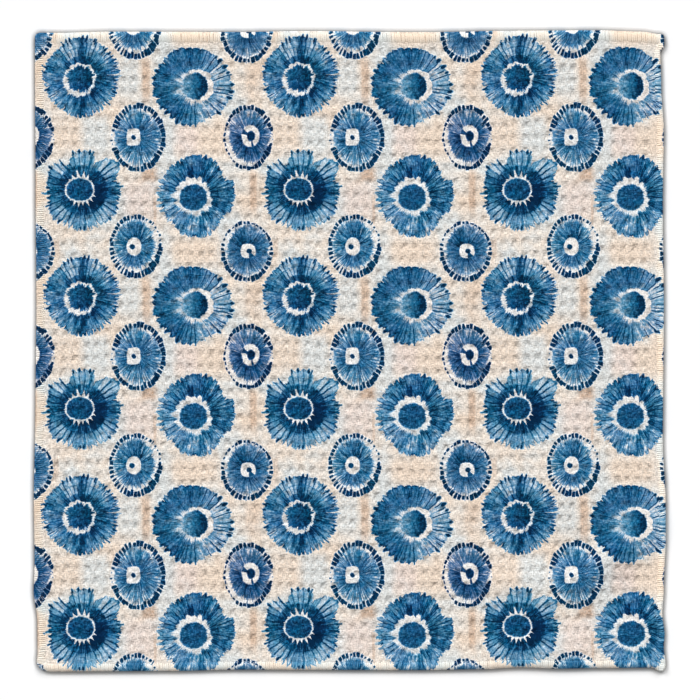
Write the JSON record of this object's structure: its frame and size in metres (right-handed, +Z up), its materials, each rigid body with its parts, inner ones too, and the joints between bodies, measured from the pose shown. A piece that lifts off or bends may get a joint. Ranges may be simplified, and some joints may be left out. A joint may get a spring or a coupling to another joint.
{
  "type": "batik washcloth",
  "caption": "Square waffle-weave washcloth with an overlocked edge and indigo resist-dyed ring pattern, lying flat with soft folds at one corner.",
  "frame": {"origin": "on the surface the cloth lies on, under the middle of its bounding box", "axes": "+X to the cloth's right side, +Y to its top side, +Z up through its thickness"},
  "size_m": [0.33, 0.3348, 0.0048],
  "materials": {
    "printed_cotton": "matt waffle-weave cotton, off-white, dyed in indigo blues on its upper face"
  },
  "bodies": {
    "root": {"cloth": "printed_cotton"}
  },
  "joints": []
}
